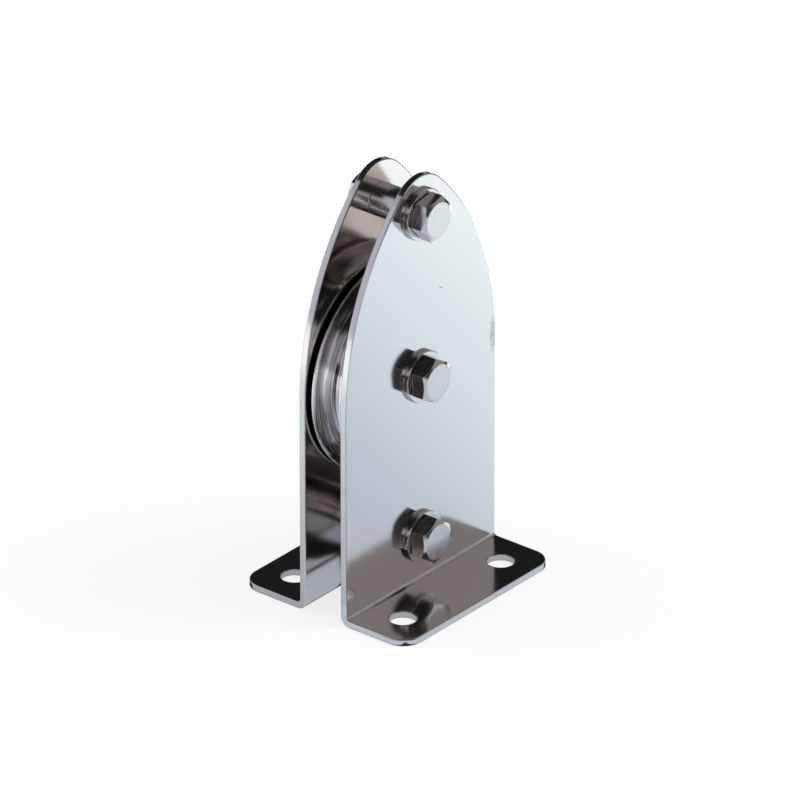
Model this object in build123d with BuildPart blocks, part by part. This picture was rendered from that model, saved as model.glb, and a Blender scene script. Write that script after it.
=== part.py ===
from build123d import *
import os
from math import atan2, cos, degrees, radians, sin, tan

# Fixed pulley block: two bent side plates, one ball-bearing sheave, three through bolts.
# X runs along the sheave axle, Y across the width of the side plates, Z up.
# The origin is the centre of the base, on the surface that the two flanges stand on.
# All sizes are millimetres.
os.makedirs("parts", exist_ok=True)

# Side plates, bent from polished sheet
sheet = 3.0
plate_width = 94.0
plate_gap = 18.0
bend_inner_radius = 1.5
flange_reach = 43.0
flange_corner_radius = 9.0
nose_radius = 16.5
edge_round = 0.4

# Through bolts: equal steps up the plates
bottom_bolt_height = 22.0
bolt_pitch = 72.0
bolt_hole_dia = 10.5

# Holes in the flanges for the mounting bolts
flange_hole_dia = 11.0
flange_hole_spacing_x = 56.0
flange_hole_spacing_y = 62.0
flange_hole_chamfer = 0.3

# Sheave
sheave_dia = 90.0
sheave_width = 15.0
groove_radius = 4.5
groove_depth = 9.5
groove_wall_angle = 20.0
groove_overcut = 1.0
rim_height = 12.5
web_thickness = 7.0
web_taper = 1.5
web_fillet = 2.0
hub_dia = 42.0
hub_width = 13.5
rim_round = 0.35

# Ball bearing of the 10 x 30 x 9 size and its seat in the hub
bearing_bore = 10.0
bearing_dia = 30.0
bearing_width = 9.0
bearing_chamfer = 0.5
inner_land_dia = 16.6
outer_land_dia = 23.6
ball_dia = 4.76
ball_count = 8
ball_clearance = 0.07
cage_sheet = 0.45
cage_band = 2.5
rivet_dia = 0.9
rivet_head_dia = 1.6
rivet_head_height = 0.35
shield_sheet = 0.35
shield_lip = 0.65
shield_seat_dia = 25.8
shield_seat_depth = 0.7
shield_bore_dia = 17.1
seat_shoulder_dia = 26.6

# Retaining ring that holds the bearing in the hub
ring_groove_dia = 31.4
ring_groove_width = 1.3
ring_thickness = 1.2
ring_outer_dia = 31.3
ring_inner_dia = 26.4
ring_gap = 2.6
ring_lug_dia = 4.4
ring_lug_hole_dia = 1.6
ring_lug_place = 12.3
ring_lug_angle = 17.0

# M10 fasteners; the threads are plain at their pitch diameter
shank_dia = 9.9
thread_pitch_dia = 9.03
bolt_length = 35.0
clamp_thread_length = 26.0
axle_thread_length = 14.0
bolt_end_chamfer = 1.0
across_flats = 17.0
head_crown_dia = 14.8
nut_crown_dia = 16.0
crown_angle = 30.0
head_height = 7.0
head_collar_dia = 15.6
head_collar_height = 0.5
nut_height = 5.0
nut_bore = 9.1
nut_countersink = 0.8
washer_dia = 22.0
washer_bore = 10.8
washer_thickness = 2.0
washer_chamfer = 0.3

# Tubes on the bolts between the plates
spacer_dia = 14.0
collar_dia = 15.0
tube_bore = 10.3
tube_chamfer = 0.4

# How far each hexagon is turned: from a corner at the top, towards -Y, bottom bolt first
head_turns = (55.0, 0.0, 40.0)
nut_turns = (12.0, 33.0, 45.0)

# Values worked out from the sizes above
half_width = plate_width / 2
inner_face = plate_gap / 2
outer_face = inner_face + sheet
axle_height = bottom_bolt_height + bolt_pitch
top_bolt_height = axle_height + bolt_pitch
bolt_heights = (bottom_bolt_height, axle_height, top_bolt_height)
bolt_places = [(0, height) for height in bolt_heights]
plate_top = top_bolt_height + nose_radius
flank_radius = (half_width**2 + bolt_pitch**2 - nose_radius**2) / (2 * (half_width - nose_radius))
flank_turn = degrees(atan2(bolt_pitch, flank_radius - half_width))
sheave_radius = sheave_dia / 2
groove_centre = sheave_radius - groove_depth + groove_radius
ball_pitch_radius = (bearing_bore + bearing_dia) / 4
pocket_radius = ball_dia / 2 + ball_clearance
head_seat = outer_face + washer_thickness
corner_radius = across_flats / 2 / cos(radians(30))

# Two sizes that differ by less than this are the same
same_size = 0.01

# The sheave turns about this axis; its profiles are drawn on a plane that holds the axis
axle_axis = Axis((0, 0, axle_height), (1, 0, 0))
axle_plane = Plane(origin=(0, 0, axle_height), x_dir=(0, 1, 0), z_dir=(1, 0, 0))
axle_section = Plane(origin=(0, 0, axle_height), x_dir=(1, 0, 0), z_dir=(0, -1, 0))


def keep(piece, name):
    """Label one finished piece and write it out."""
    piece.part.label = name
    export_step(piece.part, f"parts/{name}.step")


def circles_of(edges, dia):
    """The circular edges of one diameter."""
    return edges.filter_by(GeomType.CIRCLE).filter_by(lambda edge: abs(edge.radius - dia / 2) < same_size)


def cut_rims(edges):
    """Edges round the cut outline of a side plate, without the bend lines and the corners."""
    outline = edges.filter_by(lambda edge: abs(edge.length - sheet) > same_size)
    bends = outline.filter_by(Axis.Y).filter_by(lambda edge: edge.center().X < flange_reach - sheet)
    return outline - bends


# Side plate on the bolt head side: an angle section, its sides drawn in to a pointed arch
with BuildPart() as side_plate_right:
    with BuildSketch(Plane.XZ):
        with Locations((inner_face, 0)):
            Rectangle(sheet, plate_top, align=(Align.MIN, Align.MIN))
            Rectangle(flange_reach - inner_face, sheet, align=(Align.MIN, Align.MIN))
    extrude(amount=half_width, both=True)
    long_edges = side_plate_right.edges().filter_by(Axis.Y)
    fillet(long_edges.sort_by_distance((inner_face, 0, 0))[0], bend_inner_radius + sheet)
    long_edges = side_plate_right.edges().filter_by(Axis.Y)
    fillet(long_edges.sort_by_distance((outer_face, 0, sheet))[0], bend_inner_radius)
    with BuildSketch(Plane.YZ):
        with BuildLine():
            Polyline((0, 0), (half_width, 0), (half_width, axle_height))
            CenterArc((half_width - flank_radius, axle_height), flank_radius, 0, flank_turn)
            CenterArc((0, top_bolt_height), nose_radius, flank_turn, 90 - flank_turn)
            mirror(about=Plane.YZ)
        make_face()
    extrude(amount=flange_reach, mode=Mode.INTERSECT)
    flange_corners = side_plate_right.edges().filter_by(Axis.Z).group_by(Axis.X)[-1]
    fillet(flange_corners, flange_corner_radius)
    fillet(cut_rims(side_plate_right.edges()), edge_round)
    with BuildSketch(Plane.YZ.offset(inner_face)):
        with Locations(*bolt_places):
            Circle(bolt_hole_dia / 2)
    extrude(amount=sheet, mode=Mode.SUBTRACT)
    with Locations((flange_hole_spacing_x / 2, 0, sheet)):
        with GridLocations(0, flange_hole_spacing_y, 1, 2):
            Hole(flange_hole_dia / 2, depth=sheet)
    chamfer(circles_of(side_plate_right.edges(), flange_hole_dia), flange_hole_chamfer)
keep(side_plate_right, "side_plate_right")

# Side plate on the nut side, the mirror image of the first
with BuildPart() as side_plate_left:
    mirror(side_plate_right.part, about=Plane.YZ)
keep(side_plate_left, "side_plate_left")

# Sheave: a turned blank with a dished web, then the rope groove and the bearing seat
with BuildPart() as sheave:
    web_side = web_thickness / 2
    web_outer = sheave_radius - rim_height
    with BuildSketch(axle_section):
        with BuildLine():
            Line((0, 0), (hub_width / 2, 0))
            FilletPolyline(
                (hub_width / 2, 0),
                (hub_width / 2, hub_dia / 2),
                (web_side, hub_dia / 2 + web_taper),
                (web_side, web_outer - web_taper),
                (sheave_width / 2, web_outer),
                (sheave_width / 2, sheave_radius),
                (0, sheave_radius),
                radius=(rim_round, web_fillet, web_fillet, rim_round, rim_round),
            )
            mirror(about=Plane.YZ)
        make_face()
    revolve(axis=axle_axis)
    wall = radians(groove_wall_angle)
    wall_foot = (groove_radius * cos(wall), groove_centre - groove_radius * sin(wall))
    wall_rise = sheave_radius + groove_overcut - wall_foot[1]
    wall_head = (wall_foot[0] + wall_rise * tan(wall), sheave_radius + groove_overcut)
    with BuildSketch(axle_section):
        with Locations((0, groove_centre)):
            Circle(groove_radius)
        with BuildLine():
            Polyline(wall_foot, wall_head, (0, wall_head[1]))
            mirror(about=Plane.YZ)
            Line(wall_foot, (-wall_foot[0], wall_foot[1]))
        make_face()
    revolve(axis=axle_axis, mode=Mode.SUBTRACT)
    with BuildSketch(axle_plane.offset(-bearing_width / 2)):
        Circle(bearing_dia / 2)
    extrude(amount=bearing_width / 2 + hub_width / 2, mode=Mode.SUBTRACT)
    with BuildSketch(axle_plane.offset(-hub_width / 2)):
        Circle(seat_shoulder_dia / 2)
    extrude(amount=hub_width, mode=Mode.SUBTRACT)
    with BuildSketch(axle_plane.offset(bearing_width / 2)):
        Circle(ring_groove_dia / 2)
    extrude(amount=ring_groove_width, mode=Mode.SUBTRACT)
keep(sheave, "sheave")


def race(bore_dia, outer_dia, seat_dia):
    """Bearing ring with the ball track cut into the side that faces the balls."""
    with BuildPart(axle_plane) as ring:
        with BuildSketch(axle_plane.offset(-bearing_width / 2)):
            Circle(outer_dia / 2)
            Circle(bore_dia / 2, mode=Mode.SUBTRACT)
        extrude(amount=bearing_width)
        chamfer(circles_of(ring.edges(), seat_dia), bearing_chamfer)
        Torus(ball_pitch_radius, pocket_radius, mode=Mode.SUBTRACT)
    return ring


# Inner ring of the bearing, clamped on the axle bolt between the two collars
bearing_inner_race = race(bearing_bore, inner_land_dia, bearing_bore)
keep(bearing_inner_race, "bearing_inner_race")

# Outer ring of the bearing, with a seat for a shield at each end
with BuildPart() as bearing_outer_race:
    add(race(outer_land_dia, bearing_dia, bearing_dia).part)
    for side in (-1, 1):
        with BuildSketch(axle_plane.offset(side * bearing_width / 2)):
            Circle(shield_seat_dia / 2)
        extrude(amount=-side * shield_seat_depth, mode=Mode.SUBTRACT)
keep(bearing_outer_race, "bearing_outer_race")

# Balls
with BuildPart(axle_plane) as bearing_balls:
    with PolarLocations(ball_pitch_radius, ball_count):
        Sphere(ball_dia / 2)
keep(bearing_balls, "bearing_balls")

# Pressed ribbon cage: two halves bulged round the balls, and the rivets that join them
for side, name in ((-1, "bearing_cage_left"), (1, "bearing_cage_right")):
    with BuildPart(axle_plane) as cage_half:
        with BuildSketch(axle_plane):
            Circle(ball_pitch_radius + cage_band / 2)
        extrude(amount=side * cage_sheet)
        with PolarLocations(ball_pitch_radius, ball_count):
            Sphere(pocket_radius + cage_sheet)
        with BuildSketch(axle_plane):
            Circle(ball_pitch_radius + cage_band / 2)
            Circle(ball_pitch_radius - cage_band / 2, mode=Mode.SUBTRACT)
        extrude(amount=side * ball_dia, mode=Mode.INTERSECT)
        with PolarLocations(ball_pitch_radius, ball_count):
            Sphere(pocket_radius, mode=Mode.SUBTRACT)
        with BuildSketch(axle_plane):
            with PolarLocations(ball_pitch_radius, ball_count, start_angle=180 / ball_count):
                Circle(rivet_dia / 2)
        extrude(amount=side * cage_sheet, mode=Mode.SUBTRACT)
    keep(cage_half, name)

with BuildPart() as cage_rivets:
    with BuildSketch(axle_plane):
        with PolarLocations(ball_pitch_radius, ball_count, start_angle=180 / ball_count):
            Circle(rivet_dia / 2)
    extrude(amount=cage_sheet, both=True)
    for side in (-1, 1):
        with BuildSketch(axle_plane.offset(side * cage_sheet)):
            with PolarLocations(ball_pitch_radius, ball_count, start_angle=180 / ball_count):
                Circle(rivet_head_dia / 2)
        extrude(amount=side * rivet_head_height)
keep(cage_rivets, "bearing_cage_rivets")

# Shields: thin discs with a lip, one in each end of the outer ring
for side, name in ((-1, "bearing_shield_left"), (1, "bearing_shield_right")):
    with BuildPart() as shield:
        inner_side = axle_plane.offset(side * (bearing_width / 2 - shield_seat_depth))
        with BuildSketch(inner_side):
            Circle(shield_seat_dia / 2)
            Circle(shield_bore_dia / 2, mode=Mode.SUBTRACT)
        extrude(amount=side * shield_sheet)
        with BuildSketch(inner_side):
            Circle(shield_seat_dia / 2)
            Circle(shield_seat_dia / 2 - shield_sheet, mode=Mode.SUBTRACT)
        extrude(amount=side * shield_lip)
    keep(shield, name)

# Retaining ring: an open ring with two lugs, sprung into the groove of the hub
with BuildPart() as retaining_ring:
    with BuildSketch(axle_plane.offset(bearing_width / 2)):
        Circle(ring_outer_dia / 2)
        Circle(ring_inner_dia / 2, mode=Mode.SUBTRACT)
        for turn in (-ring_lug_angle, ring_lug_angle):
            with PolarLocations(ring_lug_place, 1, start_angle=turn):
                Circle(ring_lug_dia / 2)
        for turn in (-ring_lug_angle, ring_lug_angle):
            with PolarLocations(ring_lug_place, 1, start_angle=turn):
                Circle(ring_lug_hole_dia / 2, mode=Mode.SUBTRACT)
        with Locations((ring_outer_dia / 2, 0)):
            Rectangle(ring_outer_dia / 2, ring_gap, mode=Mode.SUBTRACT)
    extrude(amount=ring_thickness)
keep(retaining_ring, "retaining_ring")

# Collars that hold the inner ring in the middle of the gap
for side, name in ((-1, "axle_collar_left"), (1, "axle_collar_right")):
    with BuildPart() as collar:
        with BuildSketch(axle_plane.offset(side * bearing_width / 2)):
            Circle(collar_dia / 2)
            Circle(tube_bore / 2, mode=Mode.SUBTRACT)
        extrude(amount=side * (inner_face - bearing_width / 2))
        chamfer(circles_of(collar.edges(), collar_dia), tube_chamfer)
    keep(collar, name)

# Spacer tubes that the top and bottom bolts clamp between the plates
for height, name in ((bottom_bolt_height, "bottom_spacer_tube"), (top_bolt_height, "top_spacer_tube")):
    with BuildPart() as spacer_tube:
        with BuildSketch(Plane.YZ.offset(-inner_face)):
            with Locations((0, height)):
                Circle(spacer_dia / 2)
                Circle(tube_bore / 2, mode=Mode.SUBTRACT)
        extrude(amount=plate_gap)
        chamfer(circles_of(spacer_tube.edges(), spacer_dia), tube_chamfer)
    keep(spacer_tube, name)


def crown_drop(crown_dia):
    """How far from the end face the corners of a hexagon start to be turned down to a crown."""
    return (corner_radius - crown_dia / 2) * tan(radians(crown_angle))


nut_near_end = [(0, nut_crown_dia / 2), (crown_drop(nut_crown_dia), corner_radius)]
head_near_end = [
    (0, head_collar_dia / 2),
    (head_collar_height, head_collar_dia / 2),
    (head_collar_height, corner_radius),
]


def crowned_hexagon(x, height, turn, thickness, near_end, crown_dia):
    """Hexagonal prism from x along +X, turned to its near end's profile and a crown at the far end."""
    crown = [(thickness - crown_drop(crown_dia), corner_radius), (thickness, crown_dia / 2)]
    with BuildPart() as prism:
        with BuildSketch(Plane.YZ.offset(x)):
            with Locations((0, height)):
                RegularPolygon(across_flats / 2, 6, major_radius=False, rotation=90 + turn)
        extrude(amount=thickness)
        with BuildSketch(Plane(origin=(x, 0, height), x_dir=(1, 0, 0), z_dir=(0, -1, 0))):
            with BuildLine():
                Polyline((0, 0), *near_end, *crown, (thickness, 0), close=True)
            make_face()
        revolve(axis=Axis((0, 0, height), (1, 0, 0)), mode=Mode.INTERSECT)
    return prism.part


def hex_bolt(height, turn, thread_length):
    """Hexagon bolt along X, its head and the collar under it on the +X side, then shank and thread."""
    with BuildPart() as bolt:
        add(crowned_hexagon(head_seat, height, turn, head_height, head_near_end, head_crown_dia))
        with BuildSketch(Plane.YZ.offset(head_seat)):
            with Locations((0, height)):
                Circle(shank_dia / 2)
        extrude(amount=thread_length - bolt_length)
        with BuildSketch(Plane.YZ.offset(head_seat - bolt_length)):
            with Locations((0, height)):
                Circle(thread_pitch_dia / 2)
        extrude(amount=thread_length)
        chamfer(bolt.edges().sort_by(Axis.X)[0], bolt_end_chamfer)
    return bolt.part


# The bolt that carries the sheave, and the two that clamp the spacer tubes
bottom_turn, axle_turn, top_turn = head_turns
with BuildPart() as axle_bolt:
    add(hex_bolt(axle_height, axle_turn, axle_thread_length))
keep(axle_bolt, "axle_bolt")

with BuildPart() as clamp_bolts:
    add(hex_bolt(bottom_bolt_height, bottom_turn, clamp_thread_length))
    add(hex_bolt(top_bolt_height, top_turn, clamp_thread_length))
keep(clamp_bolts, "clamp_bolts")

# Plain washers under the heads and under the nuts
for x, name in ((outer_face, "head_washers"), (-head_seat, "nut_washers")):
    with BuildPart() as washers:
        with BuildSketch(Plane.YZ.offset(x)):
            with Locations(*bolt_places):
                Circle(washer_dia / 2)
                Circle(washer_bore / 2, mode=Mode.SUBTRACT)
        extrude(amount=washer_thickness)
        chamfer(circles_of(washers.edges(), washer_dia), washer_chamfer)
    keep(washers, name)

# Thin nuts, crowned and countersunk on both sides
with BuildPart() as hex_nuts:
    for height, turn in zip(bolt_heights, nut_turns):
        nut_end = -head_seat - nut_height
        add(crowned_hexagon(nut_end, height, turn, nut_height, nut_near_end, nut_crown_dia))
    with BuildSketch(Plane.YZ.offset(-head_seat - nut_height)):
        with Locations(*bolt_places):
            Circle(nut_bore / 2)
    extrude(amount=nut_height, mode=Mode.SUBTRACT)
    chamfer(circles_of(hex_nuts.edges(), nut_bore), nut_countersink)
keep(hex_nuts, "hex_nuts")
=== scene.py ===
import math

import bpy
from mathutils import Matrix, Vector


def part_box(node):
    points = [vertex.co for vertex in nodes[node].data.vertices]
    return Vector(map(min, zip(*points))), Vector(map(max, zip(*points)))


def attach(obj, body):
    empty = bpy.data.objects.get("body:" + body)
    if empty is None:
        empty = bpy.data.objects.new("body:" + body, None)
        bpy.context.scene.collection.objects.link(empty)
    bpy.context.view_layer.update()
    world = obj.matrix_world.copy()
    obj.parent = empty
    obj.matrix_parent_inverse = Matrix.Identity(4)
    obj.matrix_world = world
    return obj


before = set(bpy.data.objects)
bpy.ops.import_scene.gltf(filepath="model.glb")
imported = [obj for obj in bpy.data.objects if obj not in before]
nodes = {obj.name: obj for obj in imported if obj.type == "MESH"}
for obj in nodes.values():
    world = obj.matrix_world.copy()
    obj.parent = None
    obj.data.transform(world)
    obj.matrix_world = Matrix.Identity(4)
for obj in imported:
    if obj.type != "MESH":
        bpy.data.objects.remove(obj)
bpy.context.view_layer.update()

millimetre = 0.001
sheaveLow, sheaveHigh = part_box("sheave")
axleHeight = (sheaveLow.z + sheaveHigh.z) / 2
tubeLow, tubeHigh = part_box("top_spacer_tube")
boltSpacing = (tubeLow.z + tubeHigh.z) / 2 - axleHeight
print("frame loaded:", len(nodes), "nodes")


# Node helpers

def addNode(tree, kind, **settings):
    node = tree.nodes.new(kind)
    for name, value in settings.items():
        setattr(node, name, value)
    return node


def feed(tree, target, value):
    # value is a number, a colour, or another node's output
    if isinstance(value, bpy.types.NodeSocket):
        tree.links.new(value, target)
    else:
        target.default_value = value


def calc(tree, operation, first, second=0.0, third=None):
    node = addNode(tree, "ShaderNodeMath", operation=operation)
    feed(tree, node.inputs[0], first)
    feed(tree, node.inputs[1], second)
    if third is not None:
        feed(tree, node.inputs[2], third)
    return node.outputs[0]


def vectorCalc(tree, operation, first, second=(0.0, 0.0, 0.0)):
    node = addNode(tree, "ShaderNodeVectorMath", operation=operation)
    feed(tree, node.inputs[0], first)
    feed(tree, node.inputs[1], second)
    return node.outputs["Value" if operation in ("DOT_PRODUCT", "LENGTH") else "Vector"]


def scaled(tree, vector, amount):
    node = addNode(tree, "ShaderNodeVectorMath", operation="SCALE")
    feed(tree, node.inputs[0], vector)
    feed(tree, node.inputs["Scale"], amount)
    return node.outputs["Vector"]


def axesOf(tree, vector):
    node = addNode(tree, "ShaderNodeSeparateXYZ")
    feed(tree, node.inputs[0], vector)
    return node.outputs["X"], node.outputs["Y"], node.outputs["Z"]


def joined(tree, x=0.0, y=0.0, z=0.0):
    node = addNode(tree, "ShaderNodeCombineXYZ")
    for index, value in enumerate((x, y, z)):
        feed(tree, node.inputs[index], value)
    return node.outputs[0]


def remap(tree, value, low, high, newLow, newHigh, smooth=False):
    kind = "SMOOTHSTEP" if smooth else "LINEAR"
    node = addNode(tree, "ShaderNodeMapRange", interpolation_type=kind, clamp=True)
    for index, number in enumerate((value, low, high, newLow, newHigh)):
        feed(tree, node.inputs[index], number)
    return node.outputs[0]


def fade(tree, value, edges, outwards=False):
    # rises from 0 to 1 between the two edges, or falls from 1 to 0 where it fades outwards
    ends = (1.0, 0.0) if outwards else (0.0, 1.0)
    return remap(tree, value, *edges, *ends, smooth=True)


def mixColor(tree, share, first, second):
    # inputs 6 and 7 and output 2 are the Mix node's colour sockets
    node = addNode(tree, "ShaderNodeMix", data_type="RGBA")
    feed(tree, node.inputs["Factor"], share)
    feed(tree, node.inputs[6], first)
    feed(tree, node.inputs[7], second)
    return node.outputs[2]


def mixShader(tree, share, first, second):
    node = addNode(tree, "ShaderNodeMixShader")
    feed(tree, node.inputs[0], share)
    tree.links.new(first, node.inputs[1])
    tree.links.new(second, node.inputs[2])
    return node.outputs[0]


def noise(tree, vector, scale, detail=2.0, roughness=0.5):
    node = addNode(tree, "ShaderNodeTexNoise")
    feed(tree, node.inputs["Vector"], vector)
    feed(tree, node.inputs["Scale"], scale)
    feed(tree, node.inputs["Detail"], detail)
    feed(tree, node.inputs["Roughness"], roughness)
    return node.outputs["Fac"]


def newGroup(name, inputs, outputs):
    group = bpy.data.node_groups.new(name, "ShaderNodeTree")
    for socketName, kind, value in inputs:
        socket = group.interface.new_socket(name=socketName, in_out="INPUT", socket_type=kind)
        if value is not None:
            socket.default_value = value
    for socketName, kind in outputs:
        group.interface.new_socket(name=socketName, in_out="OUTPUT", socket_type=kind)
    return group, group.nodes.new("NodeGroupInput"), group.nodes.new("NodeGroupOutput")


def useGroup(tree, group, **values):
    node = addNode(tree, "ShaderNodeGroup", node_tree=group)
    for name, value in values.items():
        feed(tree, node.inputs[name], value)
    return node


# Effects that several finishes share

hazeShape = {
    "cloudDetail": 3.0,
    "cloudRoughness": 0.55,
    "cloudShare": 0.6,       # the rest of the tone is speckle
    "speckleDetail": 2.0,
    "speckleRoughness": 0.6,
    "middle": 0.5,           # the noise's mean, where the tone is 1
}


def buildPolishHaze(values):
    # soft clouds that a buffing wheel leaves, and the fine speckle of the metal's own grain
    group, source, result = newGroup(
        "polishHaze",
        [("Vector", "NodeSocketVector", None), ("CloudScale", "NodeSocketFloat", 30.0),
         ("SpeckleScale", "NodeSocketFloat", 900.0), ("Amount", "NodeSocketFloat", 0.1)],
        [("Cloud", "NodeSocketFloat"), ("Tone", "NodeSocketFloat")],
    )
    vector = source.outputs["Vector"]
    cloud = noise(group, vector, source.outputs["CloudScale"],
                  values["cloudDetail"], values["cloudRoughness"])
    speckle = noise(group, vector, source.outputs["SpeckleScale"],
                    values["speckleDetail"], values["speckleRoughness"])
    speckled = calc(group, "MULTIPLY", speckle, 1.0 - values["cloudShare"])
    both = calc(group, "MULTIPLY_ADD", cloud, values["cloudShare"], speckled)
    offset = calc(group, "SUBTRACT", both, values["middle"])
    tone = calc(group, "MULTIPLY_ADD", offset, source.outputs["Amount"], 1.0)
    feed(group, result.inputs["Cloud"], cloud)
    feed(group, result.inputs["Tone"], tone)
    return group


hairlineShape = {
    "detail": 1.0,
    "roughness": 0.5,
    "softness": 0.12,        # how far above the threshold a scratch is full
}


def buildHairlines(values):
    # short fine scratches that run along one direction of the vector
    group, source, result = newGroup(
        "hairlines",
        [("Vector", "NodeSocketVector", None), ("Stretch", "NodeSocketVector", (1.0, 1.0, 1.0)),
         ("Threshold", "NodeSocketFloat", 0.6)],
        [("Mask", "NodeSocketFloat"), ("Height", "NodeSocketFloat")],
    )
    stretched = vectorCalc(group, "MULTIPLY", source.outputs["Vector"], source.outputs["Stretch"])
    lines = noise(group, stretched, 1.0, values["detail"], values["roughness"])
    threshold = source.outputs["Threshold"]
    full = calc(group, "ADD", threshold, values["softness"])
    feed(group, result.inputs["Mask"], remap(group, lines, threshold, full, 0.0, 1.0))
    feed(group, result.inputs["Height"], lines)
    return group


turnedLineShape = {
    "fineDetail": 2.0,
    "fineRoughness": 0.6,
    "fineShare": 0.65,       # the rest of the height is the broad lines
    "broadScale": 0.23,
    "broadDetail": 1.0,
    "broadRoughness": 0.5,
    "maskEdges": (0.42, 0.62),
}


def buildTurnedLines(values):
    # rings that a lathe tool leaves: they follow the distance from the axle and the place along it
    group, source, result = newGroup(
        "turnedLines",
        [("Vector", "NodeSocketVector", None), ("Pitch", "NodeSocketFloat", 0.4),
         ("Waver", "NodeSocketFloat", 0.0)],
        [("Height", "NodeSocketFloat"), ("Mask", "NodeSocketFloat")],
    )
    x, y, z = axesOf(group, source.outputs["Vector"])
    ySquare = calc(group, "MULTIPLY", y, y)
    radius = calc(group, "SQRT", calc(group, "MULTIPLY_ADD", z, z, ySquare))
    place = joined(group, x, radius, calc(group, "MULTIPLY", y, source.outputs["Waver"]))
    scale = calc(group, "DIVIDE", 1.0, source.outputs["Pitch"])
    fine = noise(group, place, scale, values["fineDetail"], values["fineRoughness"])
    broadScale = calc(group, "MULTIPLY", scale, values["broadScale"])
    broad = noise(group, place, broadScale, values["broadDetail"], values["broadRoughness"])
    broadHeight = calc(group, "MULTIPLY", broad, 1.0 - values["fineShare"])
    height = calc(group, "MULTIPLY_ADD", fine, values["fineShare"], broadHeight)
    feed(group, result.inputs["Height"], height)
    feed(group, result.inputs["Mask"], remap(group, height, *values["maskEdges"], 0.0, 1.0))
    return group


edgeWearAndGlintShape = {
    "samples": 4,
    "turnEdges": (0.004, 0.12),    # how far the normals differ where the line starts and is full
    "breakScale": 350.0,
    "breakDetail": 3.0,
    "breakRoughness": 0.6,
    "breakEdges": (0.3, 0.7),
}


def buildEdgeWearAndGlint(values):
    # a thin line where the surface turns: how far a rounded normal departs from the face's own. The
    # finishes lighten their colour along it, partly for wear and partly as a painted highlight
    group, source, result = newGroup(
        "edgeWearAndGlint",
        [("Radius", "NodeSocketFloat", 0.0002), ("Vector", "NodeSocketVector", None),
         ("Breakup", "NodeSocketFloat", 0.4)],
        [("Mask", "NodeSocketFloat"), ("Normal", "NodeSocketVector")],
    )
    rounded = addNode(group, "ShaderNodeBevel", samples=values["samples"])
    feed(group, rounded.inputs["Radius"], source.outputs["Radius"])
    faceNormal = addNode(group, "ShaderNodeNewGeometry").outputs["Normal"]
    likeness = vectorCalc(group, "DOT_PRODUCT", rounded.outputs[0], faceNormal)
    turn = remap(group, calc(group, "SUBTRACT", 1.0, likeness), *values["turnEdges"], 0.0, 1.0)
    patches = noise(group, source.outputs["Vector"], values["breakScale"],
                    values["breakDetail"], values["breakRoughness"])
    broken = remap(group, patches, *values["breakEdges"], 0.0, 1.0)
    kept = calc(group, "SUBTRACT", 1.0, calc(group, "MULTIPLY", broken, source.outputs["Breakup"]))
    feed(group, result.inputs["Mask"], calc(group, "MULTIPLY", turn, kept))
    feed(group, result.inputs["Normal"], rounded.outputs[0])
    return group


polishHaze = buildPolishHaze(hazeShape)
hairlines = buildHairlines(hairlineShape)
turnedLines = buildTurnedLines(turnedLineShape)
edgeWearAndGlint = buildEdgeWearAndGlint(edgeWearAndGlintShape)
print("shared effects built")


# Finishes

def newFinish(name):
    material = bpy.data.materials.new(name)
    material.use_nodes = True
    tree = material.node_tree
    tree.nodes.clear()
    output = addNode(tree, "ShaderNodeOutputMaterial")
    shader = addNode(tree, "ShaderNodeBsdfPrincipled")
    tree.links.new(shader.outputs[0], output.inputs[0])
    shader.inputs["Metallic"].default_value = 1.0
    place = addNode(tree, "ShaderNodeTexCoord").outputs["Object"]
    return material, tree, shader, place


def roughen(tree, shader, height, depth, normal):
    bump = addNode(tree, "ShaderNodeBump")
    bump.inputs["Strength"].default_value = 1.0
    bump.inputs["Distance"].default_value = depth
    tree.links.new(height, bump.inputs["Height"])
    tree.links.new(normal, bump.inputs["Normal"])
    tree.links.new(bump.outputs[0], shader.inputs["Normal"])


cloudEdges = (0.35, 0.7)     # where the haze's clouds start and are full, in every finish

polishedSheet = {
    "colour": (0.71, 0.685, 0.665, 1.0),
    "edgeColour": (0.82, 0.81, 0.80, 1.0),
    "edgeRadius": 0.0007,
    "edgeBreakup": 0.3,
    "roughness": 0.045,
    "hazeRoughness": 0.07,
    # added to those two: the outer upright faces are a little duller than the flanges
    "flangeRoughness": 0.065,
    "uprightRoughness": 0.075,
    "uprightStart": (0.004, 0.009),
    # the faces that look at the sheave have a polish of their own
    "innerColour": (0.74, 0.69, 0.66, 1.0),
    "innerReach": 0.0093,
    "innerRoughness": 0.055,
    "cloudScale": 22.0,
    "speckleScale": 1500.0,
    "toneAmount": 0.05,
    "waviness": 0.000012,
    "waveScale": 26.0,
    "waveDetail": 1.0,
    "waveRoughness": 0.4,
    "scratchStretch": (90.0, 70.0, 1500.0),
    "scratchThreshold": 0.66,
    "scratchRoughness": 0.05,
    # a nick in the polish between the two upper bolts, and a rubbed patch on the plate's back edge
    "nickPlace": (0.012, 0.0124, 0.1285),
    "nickLength": 0.0042,
    "nickWidth": 0.00045,
    "nickTilt": 0.55,
    "nickShare": 0.8,
    "rubPlace": (0.012, 0.0452, 0.0945),
    "rubSize": (0.0026, 0.0105),
    "rubScale": 420.0,
    "rubDetail": 3.0,
    "rubEdges": (0.35, 0.6),
    "rubShares": (0.3, 0.75),
    "markDepth": 0.0025,     # how far a mark reaches through the sheet
    "markEdges": (1.0, 0.35),
    "markColour": (0.34, 0.36, 0.37, 1.0),
    "markRoughness": 0.25,
}


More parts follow.
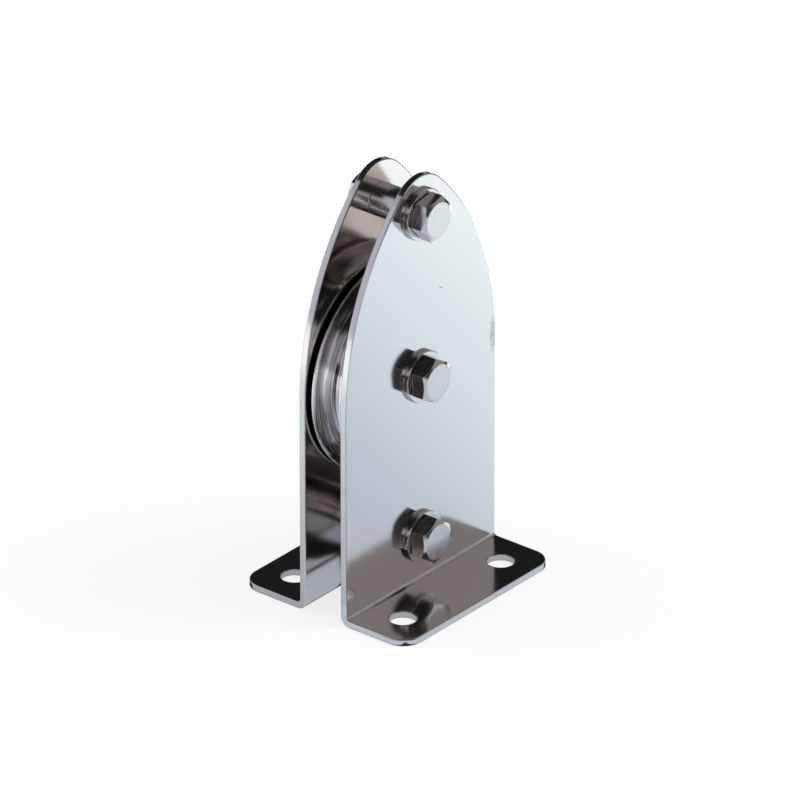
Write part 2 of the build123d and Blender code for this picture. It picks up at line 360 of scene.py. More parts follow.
def ellipseMask(tree, place, centre, halfSizes, edges, tilt=0.0):
    # 1 inside a soft ellipse on the outer face of the bolt head plate, 0 outside it
    turned = addNode(tree, "ShaderNodeVectorRotate", rotation_type="X_AXIS")
    feed(tree, turned.inputs["Vector"], place)
    turned.inputs["Center"].default_value = centre
    turned.inputs["Angle"].default_value = tilt
    offset = vectorCalc(tree, "SUBTRACT", turned.outputs[0], centre)
    shares = [1.0 / halfSize for halfSize in halfSizes]
    distance = vectorCalc(tree, "LENGTH", vectorCalc(tree, "MULTIPLY", offset, shares))
    return fade(tree, distance, edges)


def makePolishedSheet(values):
    material, tree, shader, place = newFinish("polishedSheet")
    haze = useGroup(tree, polishHaze, Vector=place, CloudScale=values["cloudScale"],
                    SpeckleScale=values["speckleScale"], Amount=values["toneAmount"])
    lines = useGroup(tree, hairlines, Vector=place, Stretch=values["scratchStretch"],
                     Threshold=values["scratchThreshold"])
    edge = useGroup(tree, edgeWearAndGlint, Radius=values["edgeRadius"], Vector=place,
                    Breakup=values["edgeBreakup"])
    nickSize = (values["markDepth"], values["nickLength"] / 2, values["nickWidth"])
    nick = ellipseMask(tree, place, values["nickPlace"], nickSize,
                       values["markEdges"], values["nickTilt"])
    rubSize = (values["markDepth"], *values["rubSize"])
    rub = ellipseMask(tree, place, values["rubPlace"], rubSize, values["markEdges"])
    patches = noise(tree, place, values["rubScale"], values["rubDetail"])
    rubbed = remap(tree, patches, *values["rubEdges"], *values["rubShares"])
    rub = calc(tree, "MULTIPLY", rub, rubbed)
    marks = calc(tree, "MAXIMUM", calc(tree, "MULTIPLY", nick, values["nickShare"]), rub)

    x, y, z = axesOf(tree, place)
    inner = calc(tree, "LESS_THAN", calc(tree, "ABSOLUTE", x), values["innerReach"])
    base = mixColor(tree, inner, values["colour"], values["innerColour"])
    # the edges are lighter: partly wear, partly a painted highlight
    base = mixColor(tree, edge.outputs["Mask"], base, values["edgeColour"])
    toned = scaled(tree, base, haze.outputs["Tone"])
    shader.inputs["Base Color"].default_value = values["colour"]
    tree.links.new(mixColor(tree, marks, toned, values["markColour"]), shader.inputs["Base Color"])

    rough = remap(tree, haze.outputs["Cloud"], *cloudEdges, values["roughness"], values["hazeRoughness"])
    rough = calc(tree, "MULTIPLY_ADD", inner, values["innerRoughness"], rough)
    outer = remap(tree, z, *values["uprightStart"], values["flangeRoughness"], values["uprightRoughness"])
    outer = calc(tree, "MULTIPLY", outer, calc(tree, "SUBTRACT", 1.0, inner))
    rough = calc(tree, "ADD", rough, outer)
    rough = calc(tree, "MULTIPLY_ADD", lines.outputs["Mask"], values["scratchRoughness"], rough)
    rough = calc(tree, "MULTIPLY_ADD", marks, values["markRoughness"], rough)
    tree.links.new(rough, shader.inputs["Roughness"])
    waves = noise(tree, place, values["waveScale"], values["waveDetail"], values["waveRoughness"])
    roughen(tree, shader, waves, values["waviness"], edge.outputs["Normal"])
    return material


turnedSteel = {
    "colour": (0.90, 0.88, 0.88, 1.0),
    "roughness": 0.06,
    # the fine lines of the tool
    "lineColour": (0.70, 0.68, 0.68, 1.0),
    "lineRoughness": 0.12,
    "linePitch": 0.00045,
    "lineWaver": 0.02,
    "lineShare": 0.06,       # of the relief, beside the ridges
    # the broader feed marks of the form tool, in relief; their rings are also darkened as a painted dark
    # reflection
    "ridgeDarkReflection": (0.18, 0.165, 0.17, 1.0),
    "ridgeShare": 0.85,
    "ridgePitch": 0.0024,
    "ridgeWaver": 0.01,
    "depth": 0.00065,
    # scores between the feed marks, duller than the rest
    "scorePitch": 0.0016,
    "scoreWaver": 0.01,
    "scoreEdges": (0.53, 0.62),
    "scoreDulling": 0.06,
    # the rims, which wear and scatter more light than the turned faces; their lighter colour is partly
    # wear and partly a painted highlight along each rim
    "edgeColour": (0.95, 0.93, 0.94, 1.0),
    "edgeRadius": 0.0007,
    "edgeBreakup": 0.4,
    "edgeRoughness": 0.30,
    "edgeDulling": 0.80,
    "cloudScale": 60.0,
    "speckleScale": 1200.0,
    "toneAmount": 0.08,
}


def makeTurnedSteel(values):
    material, tree, shader, place = newFinish("turnedSteel")
    centred = vectorCalc(tree, "SUBTRACT", place, (0.0, 0.0, axleHeight))
    lines, ridges, scores = [
        useGroup(tree, turnedLines, Vector=centred, Pitch=values[kind + "Pitch"],
                 Waver=values[kind + "Waver"])
        for kind in ("line", "ridge", "score")
    ]
    haze = useGroup(tree, polishHaze, Vector=place, CloudScale=values["cloudScale"],
                    SpeckleScale=values["speckleScale"], Amount=values["toneAmount"])
    edge = useGroup(tree, edgeWearAndGlint, Radius=values["edgeRadius"], Vector=place,
                    Breakup=values["edgeBreakup"])
    base = mixColor(tree, lines.outputs["Mask"], values["colour"], values["lineColour"])
    ridged = calc(tree, "MULTIPLY", ridges.outputs["Mask"], values["ridgeShare"])
    # the feed-mark rings darkened: a painted dark reflection
    base = mixColor(tree, ridged, base, values["ridgeDarkReflection"])
    # the rims are lighter: partly wear, partly a painted highlight
    wornAndGlinting = mixColor(tree, edge.outputs["Mask"], base, values["edgeColour"])
    tree.links.new(scaled(tree, wornAndGlinting, haze.outputs["Tone"]), shader.inputs["Base Color"])
    rough = remap(tree, lines.outputs["Mask"], 0.0, 1.0, values["roughness"], values["lineRoughness"])
    rough = calc(tree, "MULTIPLY_ADD", edge.outputs["Mask"], values["edgeRoughness"], rough)
    tree.links.new(rough, shader.inputs["Roughness"])
    scored = remap(tree, scores.outputs["Height"], *values["scoreEdges"], 0.0, values["scoreDulling"])
    dulled = calc(tree, "MULTIPLY", edge.outputs["Mask"], values["edgeDulling"])
    metallic = calc(tree, "SUBTRACT", 1.0, calc(tree, "MAXIMUM", dulled, scored))
    tree.links.new(metallic, shader.inputs["Metallic"])
    fine = lines.outputs["Height"]
    height = calc(tree, "MULTIPLY_ADD", fine, values["lineShare"], ridges.outputs["Height"])
    roughen(tree, shader, height, values["depth"], edge.outputs["Normal"])
    return material


# Plain finishes differ in their values only
plainFinishes = {
    "fastenerSteel": {
        "colour": (0.67, 0.64, 0.625, 1.0), "edgeColour": (0.80, 0.78, 0.78, 1.0),
        "roughness": (0.13, 0.21), "cloudScale": 180.0, "tone": 0.10,
        "stretch": (900.0, 250.0, 250.0), "threshold": 0.62,
        "lineRoughness": 0.10, "depth": 0.000008, "edgeRadius": 0.00035,
        "ringPitch": 0.0011, "ringDepth": 3.0, "ringTone": 0.10,
    },
    "washerSteel": {
        "colour": (0.68, 0.66, 0.66, 1.0), "edgeColour": (0.84, 0.82, 0.82, 1.0),
        "roughness": (0.12, 0.22), "cloudScale": 220.0, "tone": 0.12,
        "stretch": (500.0, 500.0, 500.0), "threshold": 0.60,
        "lineRoughness": 0.12, "depth": 0.00001, "edgeRadius": 0.00025,
    },
    "tubeSteel": {
        "colour": (0.66, 0.645, 0.635, 1.0), "edgeColour": (0.80, 0.80, 0.79, 1.0),
        "roughness": (0.16, 0.26), "cloudScale": 120.0, "tone": 0.12,
        "stretch": (30.0, 1400.0, 1400.0), "threshold": 0.52,
        "lineRoughness": 0.10, "depth": 0.000008, "edgeRadius": 0.0002,
    },
    "bearingSteel": {
        "colour": (0.74, 0.73, 0.73, 1.0), "edgeColour": (0.84, 0.84, 0.84, 1.0),
        "roughness": (0.05, 0.10), "cloudScale": 260.0, "tone": 0.05,
        "stretch": (1500.0, 90.0, 90.0), "threshold": 0.66,
        "lineRoughness": 0.06, "depth": 0.000003, "edgeRadius": 0.0001,
    },
    "pressedSteel": {
        "colour": (0.72, 0.72, 0.73, 1.0), "edgeColour": (0.86, 0.86, 0.86, 1.0),
        "roughness": (0.20, 0.32), "cloudScale": 200.0, "tone": 0.14,
        "stretch": (300.0, 300.0, 300.0), "threshold": 0.58,
        "lineRoughness": 0.10, "depth": 0.00001, "edgeRadius": 0.00008,
    },
    "springSteel": {
        "colour": (0.66, 0.66, 0.67, 1.0), "edgeColour": (0.84, 0.84, 0.84, 1.0),
        "roughness": (0.20, 0.32), "cloudScale": 240.0, "tone": 0.16,
        "stretch": (1200.0, 200.0, 200.0), "threshold": 0.55,
        "lineRoughness": 0.12, "depth": 0.00001, "edgeRadius": 0.00015,
    },
}


plainShared = {
    "speckleRatio": 9,       # the speckle is this many times finer than the clouds
    "edgeBreakup": 0.5,
    "ringWaver": 0.02,
}


def aboutBolts(tree, place):
    # the place measured from the nearest of the three bolts, which stand evenly above each other
    y, z = axesOf(tree, place)[1:]
    upwards = calc(tree, "SUBTRACT", z, axleHeight - boltSpacing / 2)
    folded = calc(tree, "FLOORED_MODULO", upwards, boltSpacing)
    return joined(tree, y=y, z=calc(tree, "SUBTRACT", folded, boltSpacing / 2))


def makePlainFinish(name, values, shared):
    material, tree, shader, place = newFinish(name)
    haze = useGroup(tree, polishHaze, Vector=place, CloudScale=values["cloudScale"],
                    SpeckleScale=values["cloudScale"] * shared["speckleRatio"], Amount=values["tone"])
    lines = useGroup(tree, hairlines, Vector=place, Stretch=values["stretch"],
                     Threshold=values["threshold"])
    edge = useGroup(tree, edgeWearAndGlint, Radius=values["edgeRadius"], Vector=place,
                    Breakup=shared["edgeBreakup"])
    # the edges are lighter: partly wear, partly a painted highlight
    base = mixColor(tree, edge.outputs["Mask"], values["colour"], values["edgeColour"])
    tone = haze.outputs["Tone"]
    height = lines.outputs["Height"]
    if "ringPitch" in values:
        rings = useGroup(tree, turnedLines, Vector=aboutBolts(tree, place),
                         Pitch=values["ringPitch"], Waver=shared["ringWaver"])
        ringTone = calc(tree, "MULTIPLY", rings.outputs["Mask"], values["ringTone"])
        tone = calc(tree, "SUBTRACT", tone, ringTone)
        height = calc(tree, "MULTIPLY_ADD", rings.outputs["Height"], values["ringDepth"], height)
    tree.links.new(scaled(tree, base, tone), shader.inputs["Base Color"])
    rough = remap(tree, haze.outputs["Cloud"], *cloudEdges, *values["roughness"])
    rough = calc(tree, "MULTIPLY_ADD", lines.outputs["Mask"], values["lineRoughness"], rough)
    tree.links.new(rough, shader.inputs["Roughness"])
    roughen(tree, shader, height, values["depth"], edge.outputs["Normal"])
    return material


finishes = {"polishedSheet": makePolishedSheet(polishedSheet), "turnedSteel": makeTurnedSteel(turnedSteel)}
for name, values in plainFinishes.items():
    finishes[name] = makePlainFinish(name, values, plainShared)

finishOf = {
    "side_plate_right": "polishedSheet", "side_plate_left": "polishedSheet",
    "sheave": "turnedSteel",
    "axle_bolt": "fastenerSteel", "clamp_bolts": "fastenerSteel", "hex_nuts": "fastenerSteel",
    "head_washers": "washerSteel", "nut_washers": "washerSteel",
    "retaining_ring": "springSteel",
    "top_spacer_tube": "tubeSteel", "bottom_spacer_tube": "tubeSteel",
    "axle_collar_left": "tubeSteel", "axle_collar_right": "tubeSteel",
    "bearing_inner_race": "bearingSteel", "bearing_outer_race": "bearingSteel",
    "bearing_balls": "bearingSteel", "bearing_cage_rivets": "pressedSteel",
    "bearing_cage_left": "pressedSteel", "bearing_cage_right": "pressedSteel",
    "bearing_shield_left": "pressedSteel", "bearing_shield_right": "pressedSteel",
}

for nodeName, finishName in finishOf.items():
    piece = nodes[nodeName]
    piece.data.materials.clear()
    piece.data.materials.append(finishes[finishName])
print("finishes placed on", len(finishOf), "nodes")


# Threads: the ridges on the bolt ends that stand out of the nuts

boltThread = {
    "length": 3 * millimetre,          # where the modifier is given no other
    "pitch": 1.5 * millimetre,
    "rootRadius": 4.50 * millimetre,
    "ridge": 0.44 * millimetre,
    "footWidth": 1.25 * millimetre,
    "footDepth": 0.05 * millimetre,    # how far the foot sinks under the root
    "crestWidth": 0.2 * millimetre,
    "hiddenStart": 0.8 * millimetre,   # how far inside the nut the ridge begins
    "endRadius": 3.62 * millimetre,    # the bolt's end chamfer cuts the ridges down to this
    "stepsPerTurn": 48,
}


def buildThreadTree(values):
    tree = bpy.data.node_groups.new("threadRidges", "GeometryNodeTree")
    tree.interface.new_socket(name="Geometry", in_out="INPUT", socket_type="NodeSocketGeometry")
    keys = {}
    for name, kind, value in (
        ("Length", "NodeSocketFloat", values["length"]),
        ("Pitch", "NodeSocketFloat", values["pitch"]),
        ("Root Radius", "NodeSocketFloat", values["rootRadius"]),
        ("Ridge Height", "NodeSocketFloat", values["ridge"]),
        ("Foot Width", "NodeSocketFloat", values["footWidth"]),
        ("Crest Width", "NodeSocketFloat", values["crestWidth"]),
        ("End Radius", "NodeSocketFloat", values["endRadius"]),
        ("Steps Per Turn", "NodeSocketInt", values["stepsPerTurn"]),
        ("Finish", "NodeSocketMaterial", None),
    ):
        socket = tree.interface.new_socket(name=name, in_out="INPUT", socket_type=kind)
        if value is not None:
            socket.default_value = value
        keys[name] = socket.identifier
    tree.interface.new_socket(name="Geometry", in_out="OUTPUT", socket_type="NodeSocketGeometry")
    source = addNode(tree, "NodeGroupInput")
    result = addNode(tree, "NodeGroupOutput")
    turns = calc(tree, "DIVIDE", source.outputs["Length"], source.outputs["Pitch"])
    helix = addNode(tree, "GeometryNodeCurveSpiral")
    for name, value in {
        "Resolution": source.outputs["Steps Per Turn"], "Rotations": turns,
        "Start Radius": source.outputs["Root Radius"], "End Radius": source.outputs["Root Radius"],
        "Height": source.outputs["Length"],
    }.items():
        feed(tree, helix.inputs[name], value)
    upright = addNode(tree, "GeometryNodeSetCurveNormal", mode="Z_UP")
    tree.links.new(helix.outputs[0], upright.inputs["Curve"])

    # the ridge's section: a flat crest on a wide foot that starts a little under the root
    profile = addNode(tree, "GeometryNodeCurvePrimitiveQuadrilateral", mode="POINTS")
    halfFoot = calc(tree, "MULTIPLY", source.outputs["Foot Width"], 0.5)
    halfCrest = calc(tree, "MULTIPLY", source.outputs["Crest Width"], 0.5)
    crest = calc(tree, "MULTIPLY", source.outputs["Ridge Height"], -1.0)
    foot = values["footDepth"]
    corners = ((foot, halfFoot, -1.0), (crest, halfCrest, -1.0),
               (crest, halfCrest, 1.0), (foot, halfFoot, 1.0))
    for index, (outward, half, side) in enumerate(corners):
        corner = joined(tree, outward, calc(tree, "MULTIPLY", half, side))
        tree.links.new(corner, profile.inputs["Point %d" % (index + 1)])
    ridge = addNode(tree, "GeometryNodeCurveToMesh")
    ridge.inputs["Fill Caps"].default_value = True
    tree.links.new(upright.outputs[0], ridge.inputs["Curve"])
    tree.links.new(profile.outputs[0], ridge.inputs["Profile Curve"])

    # the end chamfer: no point stands out further than a cone that narrows to the bolt's end
    x, y, z = axesOf(tree, addNode(tree, "GeometryNodeInputPosition").outputs[0])
    radius = vectorCalc(tree, "LENGTH", joined(tree, x, y))
    beforeEnd = calc(tree, "SUBTRACT", source.outputs["Length"], z)
    allowed = calc(tree, "ADD", source.outputs["End Radius"], beforeEnd)
    share = calc(tree, "MINIMUM", calc(tree, "DIVIDE", allowed, radius), 1.0)
    trimmed = joined(tree, calc(tree, "MULTIPLY", x, share), calc(tree, "MULTIPLY", y, share),
                     calc(tree, "MINIMUM", z, source.outputs["Length"]))
    cut = addNode(tree, "GeometryNodeSetPosition")
    tree.links.new(ridge.outputs[0], cut.inputs["Geometry"])
    tree.links.new(trimmed, cut.inputs["Position"])

    onBolts = addNode(tree, "GeometryNodeInstanceOnPoints")
    tree.links.new(source.outputs["Geometry"], onBolts.inputs["Points"])
    tree.links.new(cut.outputs[0], onBolts.inputs["Instance"])
    onBolts.inputs["Rotation"].default_value = (0.0, -math.pi / 2, 0.0)
    realized = addNode(tree, "GeometryNodeRealizeInstances")
    tree.links.new(onBolts.outputs[0], realized.inputs[0])
    dressed = addNode(tree, "GeometryNodeSetMaterial")
    tree.links.new(realized.outputs[0], dressed.inputs["Geometry"])
    tree.links.new(source.outputs["Finish"], dressed.inputs["Material"])
    tree.links.new(dressed.outputs[0], result.inputs[0])
    return tree, keys


def bakeTree(name, starts, tree, settings):
    # runs the tree on a mesh of loose points and keeps the result as a plain mesh
    seed = bpy.data.meshes.new(name)
    seed.from_pydata(starts, [], [])
    piece = bpy.data.objects.new(name, seed)
    bpy.context.scene.collection.objects.link(piece)
    modifier = piece.modifiers.new("build", "NODES")
    modifier.node_group = tree
    for key, value in settings.items():
        modifier[key] = value
    bpy.context.view_layer.update()
    finished = bpy.data.meshes.new_from_object(piece.evaluated_get(bpy.context.evaluated_depsgraph_get()))
    piece.modifiers.clear()
    piece.data = finished
    finished.name = name
    bpy.data.meshes.remove(seed)
    return piece


def makeThreads(values):
    tree, keys = buildThreadTree(values)
    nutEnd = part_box("hex_nuts")[0].x
    topLow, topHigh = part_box("top_spacer_tube")
    bottomLow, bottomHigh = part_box("bottom_spacer_tube")
    heights = ((bottomLow.z + bottomHigh.z) / 2, axleHeight, (topLow.z + topHigh.z) / 2)
    start = nutEnd + values["hiddenStart"]
    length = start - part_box("axle_bolt")[0].x
    threads = bakeTree("bolt_threads", [(start, 0.0, height) for height in heights], tree,
                       {keys["Length"]: length, keys["Finish"]: finishes["fastenerSteel"]})
    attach(threads, "frame")
    print("threads:", len(threads.data.polygons), "faces")


makeThreads(boltThread)


# Stage: a white table, seen white by the camera; in the metal it shades off around the object

stage = {
    "halfWidth": 6.0,
    "whiteShare": 0.80,      # how much of the white doesn't darken in the shadow
    "diffuse": (0.86, 0.87, 0.88, 1.0),
    "glowShare": 0.72,       # the same for the floor that the metal shows
    # the table as the metal shows it, in painted light: brighter towards the back left
    "middle": (0.64, 0.76, 0.885),
    "rise": (3.2, 3.3, 2.85),          # per metre
    "riseDirection": (-0.46, 0.888, 0.0),
    "darkest": (0.67, 0.74, 0.84),
    "brightest": (1.37, 1.39, 1.41),
    # painted shade: darker close to the object on the front left, brighter further out
    "frontLeft": (0.52, 0.58, 0.66, 1.0),
    "frontLeftFar": (0.84, 0.96, 1.0, 1.0),
    "frontLeftReach": 0.19,
    "frontFar": (1.25, 1.29, 1.33, 1.0),    # far in front the table is bright again
    "frontFarEdges": (-0.42, -0.24),
    "backLeft": (1.08, 0.97, 0.90, 1.0),
    # painted contact shadow close behind the object on the left
    "backLeftContactShadow": (0.12, 0.11, 0.11, 1.0),
    "backLeftContactShadowEdges": (0.055, 0.120),
    "backLeftShade": (0.22, 0.20, 0.21, 1.0),
    "backLeftShadeEdges": (0.235, 0.255),
    "backLeftFar": (1.44, 1.43, 1.50, 1.0),
    "backLeftFarEdges": (0.266, 0.292),
    "tableEdge": (0.42, 0.60),         # behind this the dark room begins
    "room": (0.075, 0.062, 0.056, 1.0),
    "halfSize": (0.043, 0.047, 0.0),
    # the shaded side: a wedge of the floor that opens towards the camera, from a little way out
    "shade": (0.045, 0.038, 0.036, 1.0),
    "shadeDirection": (0.643, -0.766, 0.0),
    "shadeEdge": (0.925, 0.985),
    "shadeStart": (0.003, 0.007),
    # painted shadow on the floor under the flanges, and painted light under their holes
    "flangeShadow": (0.04, 0.04, 0.04, 1.0),
    "coveredReach": 0.0001,
    "holeLight": (0.52, 0.55, 0.58, 1.0),
    "holePlace": (0.028, 0.031, 0.0),
    "holeEdge": (0.008, 0.013),
    # the floor between the plates is lit in front, dark, and lit again, with slanting limits
    "gapHalf": 0.010,
    "gapStart": -0.055,
    "gapBack": (0.060, 0.110),
    "gapFront": (0.62, 0.725, 0.83, 1.0),
    "gapDark": (0.012, 0.011, 0.010, 1.0),
    "gapDarkEdges": (-0.0150, -0.0120),
    "gapDarkSlant": -1.1,
    "gapLit": (0.46, 0.55, 0.64, 1.0),
    "litStart": (0.0040, 0.0080),
    "litStartSlant": -0.1,
    "litEnd": (0.028, 0.032),
    "litEndSlant": 1.227,
    "restingDistance": 0.0002,
}


def tableLightAndShade(tree, place, x, y, outside, values):
    # the open table around the object, with painted light and shade on the left: painted shadow close to
    # the object, then a darker band and a bright reach further back
    along = vectorCalc(tree, "DOT_PRODUCT", place, values["riseDirection"])
    tone = vectorCalc(tree, "ADD", scaled(tree, values["rise"], along), values["middle"])
    tone = vectorCalc(tree, "MAXIMUM", tone, values["darkest"])
    tone = vectorCalc(tree, "MINIMUM", tone, values["brightest"])
    backLeft = mixColor(tree, fade(tree, y, values["backLeftShadeEdges"]),
                        values["backLeft"], values["backLeftShade"])
    backLeft = mixColor(tree, fade(tree, y, values["backLeftFarEdges"]), backLeft, values["backLeftFar"])
    # painted contact shadow close behind the object
    backLeft = mixColor(tree, fade(tree, y, values["backLeftContactShadowEdges"]), values["backLeftContactShadow"], backLeft)
    # painted shade close to the object on the front left
    frontLeft = mixColor(tree, remap(tree, outside, 0.0, values["frontLeftReach"], 0.0, 1.0),
                         values["frontLeft"], values["frontLeftFar"])
    left = mixColor(tree, calc(tree, "LESS_THAN", y, 0.0), backLeft, frontLeft)
    tone = mixColor(tree, calc(tree, "LESS_THAN", x, 0.0), tone, left)
    farInFront = fade(tree, y, values["frontFarEdges"], outwards=True)
    tone = mixColor(tree, farInFront, tone, values["frontFar"])
    return mixColor(tree, fade(tree, y, values["tableEdge"]), tone, values["room"])


def gapTone(tree, x, y, values):
    # the floor between the plates, in three zones from front to back
    darkLine, litLine, endLine = [
        calc(tree, "MULTIPLY_ADD", x, values[slant], y)
        for slant in ("gapDarkSlant", "litStartSlant", "litEndSlant")
    ]
    darkened = fade(tree, darkLine, values["gapDarkEdges"])
    tone = mixColor(tree, darkened, values["gapFront"], values["gapDark"])
    lit = calc(tree, "MULTIPLY", fade(tree, litLine, values["litStart"]),
               fade(tree, endLine, values["litEnd"], outwards=True))
    return mixColor(tree, lit, tone, values["gapLit"])


def toneInMetal(tree, place, values):
    # what the metal shows of the whole floor: painted light and shade around the object
    x, y = axesOf(tree, place)[:2]
    sideways = calc(tree, "ABSOLUTE", x)
    unsigned = vectorCalc(tree, "ABSOLUTE", place)
    past = vectorCalc(tree, "SUBTRACT", unsigned, values["halfSize"])
    outside = vectorCalc(tree, "LENGTH", vectorCalc(tree, "MAXIMUM", past, (0.0, 0.0, 0.0)))
    tone = tableLightAndShade(tree, place, x, y, outside, values)

    heading = vectorCalc(tree, "NORMALIZE", place)
    forward = vectorCalc(tree, "DOT_PRODUCT", heading, values["shadeDirection"])
    shade = calc(tree, "MULTIPLY", fade(tree, forward, values["shadeEdge"]),
                 fade(tree, outside, values["shadeStart"]))
    tone = mixColor(tree, shade, tone, values["shade"])

    # painted shadow under the flanges, lit again under each hole
    fromHole = vectorCalc(tree, "LENGTH", vectorCalc(tree, "SUBTRACT", unsigned, values["holePlace"]))
    underHole = fade(tree, fromHole, values["holeEdge"], outwards=True)
    under = mixColor(tree, underHole, values["flangeShadow"], values["holeLight"])
    covered = calc(tree, "MULTIPLY", calc(tree, "LESS_THAN", outside, values["coveredReach"]),
                   calc(tree, "GREATER_THAN", sideways, values["gapHalf"]))
    tone = mixColor(tree, covered, tone, under)

    inGap = calc(tree, "MULTIPLY", calc(tree, "LESS_THAN", sideways, values["gapHalf"]),
                 fade(tree, y, values["gapBack"], outwards=True))
    inGap = calc(tree, "MULTIPLY", inGap, calc(tree, "GREATER_THAN", y, values["gapStart"]))
    return mixColor(tree, inGap, tone, gapTone(tree, x, y, values))


def makeFloor(values):
    mesh = bpy.data.meshes.new("studioFloor")
    reach = values["halfWidth"]
    corners = [(-reach, -reach, 0.0), (reach, -reach, 0.0), (reach, reach, 0.0), (-reach, reach, 0.0)]
    mesh.from_pydata(corners, [], [(0, 1, 2, 3)])
    floor = bpy.data.objects.new("studioFloor", mesh)
    bpy.context.scene.collection.objects.link(floor)

    material = bpy.data.materials.new("studioFloor")
    material.use_nodes = True
    tree = material.node_tree
    tree.nodes.clear()
    tone = toneInMetal(tree, addNode(tree, "ShaderNodeTexCoord").outputs["Object"], values)

    lights = addNode(tree, "ShaderNodeLightPath")
    white = addNode(tree, "ShaderNodeEmission").outputs[0]
    diffuse = addNode(tree, "ShaderNodeBsdfDiffuse")
    diffuse.inputs["Color"].default_value = values["diffuse"]
    forCamera = mixShader(tree, values["whiteShare"], diffuse.outputs[0], white)
    # for the metal the floor glows with these painted tones, though it is no lamp; the rest of it darkens
    # in the real shadow
    glowing = addNode(tree, "ShaderNodeEmission")
    tree.links.new(tone, glowing.inputs["Color"])
    shadowed = addNode(tree, "ShaderNodeBsdfDiffuse")
    tree.links.new(tone, shadowed.inputs["Color"])
    forMetal = mixShader(tree, values["glowShare"], shadowed.outputs[0], glowing.outputs[0])
    shown = mixShader(tree, lights.outputs["Is Glossy Ray"], diffuse.outputs[0], forMetal)
    shown = mixShader(tree, lights.outputs["Is Camera Ray"], shown, forCamera)

    # from below the floor isn't there, so that the underside can be looked at: neither its back
    # nor what a face that rests on it would mirror
    backfacing = addNode(tree, "ShaderNodeNewGeometry").outputs["Backfacing"]
    resting = calc(tree, "LESS_THAN", lights.outputs["Ray Length"], values["restingDistance"])
    clear = addNode(tree, "ShaderNodeBsdfTransparent").outputs[0]
    shown = mixShader(tree, calc(tree, "MAXIMUM", backfacing, resting), shown, clear)
    output = addNode(tree, "ShaderNodeOutputMaterial")
    tree.links.new(shown, output.inputs[0])
    mesh.materials.append(material)


room = {
    "fill": (0.75, 0.75, 0.75, 1.0),           # what lights matt surfaces
    "white": (1.0, 1.0, 1.0, 1.0),             # what the camera sees
    "dark": (0.010, 0.011, 0.012, 1.0),
    "glow": (0.35, 0.325, 0.33, 1.0),          # the warm part of the room, high at the back right
    "glowDirection": (0.56, 0.687, 0.463),
    "glowEdge": (0.74, 0.97),
    "backdrop": (0.36, 0.34, 0.33, 1.0),       # what stands low behind the table, seen in the metal
    "backdropEdge": (0.10, 0.26),              # sine of the height where it ends
    "backdropSide": (-0.1, 0.35),
    "wall": (0.58, 0.60, 0.70, 1.0),           # a pale wall at the front left
    "wallDirection": (-0.62, -0.785, 0.0),
    "wallSide": (0.55, 0.80),
    "wallEdge": (0.66, 0.74),
    "strip": (0.60, 0.53, 0.56, 1.0),          # a lit strip at the front right, for the washers' rims
    "stripDirection": (0.60, -0.80, 0.0),
    "stripSide": (0.76, 0.90),
    "stripFoot": (0.14, 0.19),
    "stripTop": (0.40, 0.50),
}


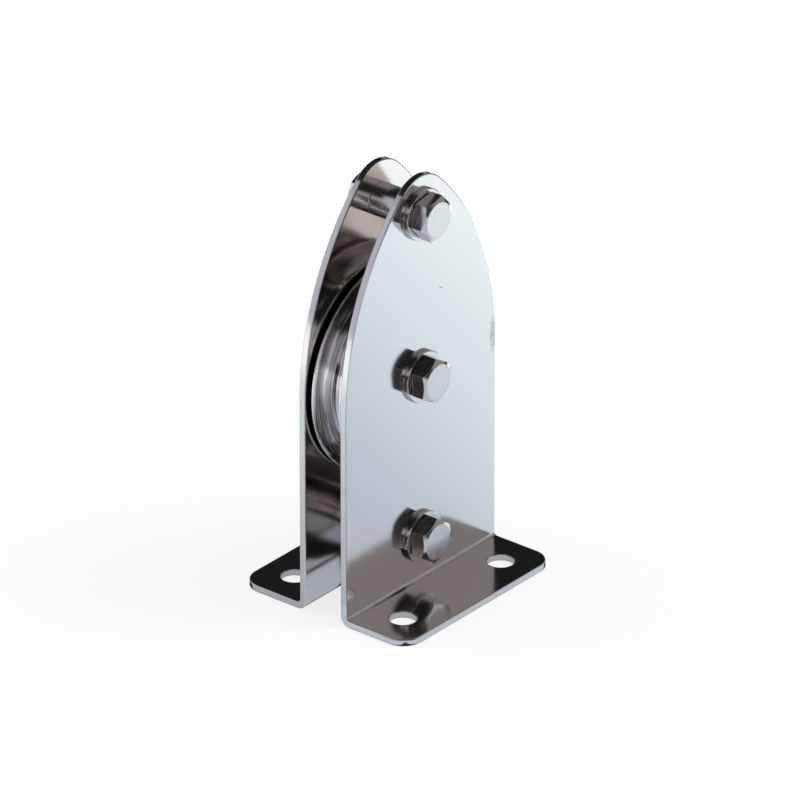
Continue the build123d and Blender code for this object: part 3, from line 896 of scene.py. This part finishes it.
def makeWorld(values):
    world = bpy.data.worlds.new("studioRoom")
    bpy.context.scene.world = world
    world.use_nodes = True
    tree = world.node_tree
    tree.nodes.clear()
    direction = vectorCalc(tree, "NORMALIZE", addNode(tree, "ShaderNodeTexCoord").outputs["Generated"])
    y, z = axesOf(tree, direction)[1:]
    level = vectorCalc(tree, "NORMALIZE", vectorCalc(tree, "MULTIPLY", direction, (1.0, 1.0, 0.0)))

    towardsGlow = vectorCalc(tree, "DOT_PRODUCT", direction, values["glowDirection"])
    warmth = fade(tree, towardsGlow, values["glowEdge"])
    sweep = calc(tree, "MULTIPLY", fade(tree, z, values["backdropEdge"], outwards=True),
                 fade(tree, y, values["backdropSide"]))
    towardsWall = vectorCalc(tree, "DOT_PRODUCT", level, values["wallDirection"])
    wall = calc(tree, "MULTIPLY", fade(tree, towardsWall, values["wallSide"]),
                fade(tree, z, values["wallEdge"], outwards=True))
    towardsStrip = vectorCalc(tree, "DOT_PRODUCT", level, values["stripDirection"])
    strip = calc(tree, "MULTIPLY", fade(tree, towardsStrip, values["stripSide"]),
                 fade(tree, z, values["stripFoot"]))
    strip = calc(tree, "MULTIPLY", strip, fade(tree, z, values["stripTop"], outwards=True))
    seen = values["dark"]
    for share, tone in ((warmth, "glow"), (sweep, "backdrop"), (wall, "wall"), (strip, "strip")):
        seen = mixColor(tree, share, seen, values[tone])

    lights = addNode(tree, "ShaderNodeLightPath")
    plain = mixColor(tree, lights.outputs["Is Camera Ray"], values["fill"], values["white"])
    background = addNode(tree, "ShaderNodeBackground")
    colour = mixColor(tree, lights.outputs["Is Glossy Ray"], plain, seen)
    tree.links.new(colour, background.inputs["Color"])
    output = addNode(tree, "ShaderNodeOutputWorld")
    tree.links.new(background.outputs[0], output.inputs[0])


lamps = {
    "keyBox": {"place": (0.9, 0.7, 1.5), "size": 0.9, "power": 14.0},
    "sideBox": {"place": (-1.2, -0.6, 0.9), "size": 0.8, "power": 5.0},
}


def makeLamps(values):
    aim = Vector((0.0, 0.0, axleHeight))
    for name, setting in values.items():
        data = bpy.data.lights.new(name, "AREA")
        data.shape = "DISK"
        data.size = setting["size"]
        data.energy = setting["power"]
        lamp = bpy.data.objects.new(name, data)
        bpy.context.scene.collection.objects.link(lamp)
        lamp.location = setting["place"]
        lamp.rotation_euler = (aim - lamp.location).to_track_quat("-Z", "Y").to_euler()
        lamp.visible_glossy = False
        lamp.visible_camera = False


camera = {
    "azimuth": 39.234,
    "elevation": 27.605,
    "distance": 4.82,
    "lens": 545.7,
    "sensor": 36.0,
    "clip": (0.1, 50.0),
    "target": (0.0, 0.0, 0.0936),
    "toRight": 0.00092,      # how far the frame's middle lies from the target
    "toUp": -0.01287,
}


def cameraFrame(azimuth, elevation):
    a = math.radians(azimuth)
    e = math.radians(elevation)
    right = Vector((math.cos(a), math.sin(a), 0.0))
    up = Vector((-math.sin(e) * math.sin(a), math.sin(e) * math.cos(a), math.cos(e)))
    back = Vector((math.sin(a) * math.cos(e), -math.cos(a) * math.cos(e), math.sin(e)))
    return right, up, back


def makeCamera(values):
    right, up, back = cameraFrame(values["azimuth"], values["elevation"])
    data = bpy.data.cameras.new("photoCamera")
    data.sensor_width = values["sensor"]
    data.lens = values["lens"]
    data.clip_start, data.clip_end = values["clip"]
    eye = bpy.data.objects.new("photoCamera", data)
    bpy.context.scene.collection.objects.link(eye)
    eye.location = (Vector(values["target"]) + right * values["toRight"] + up * values["toUp"]
                    + back * values["distance"])
    eye.rotation_euler = Matrix((right, up, back)).transposed().to_euler()
    bpy.context.scene.camera = eye


makeFloor(stage)
makeWorld(room)
makeLamps(lamps)
makeCamera(camera)
bpy.context.scene.view_settings.view_transform = "Standard"
print("stage, lamps and camera set")
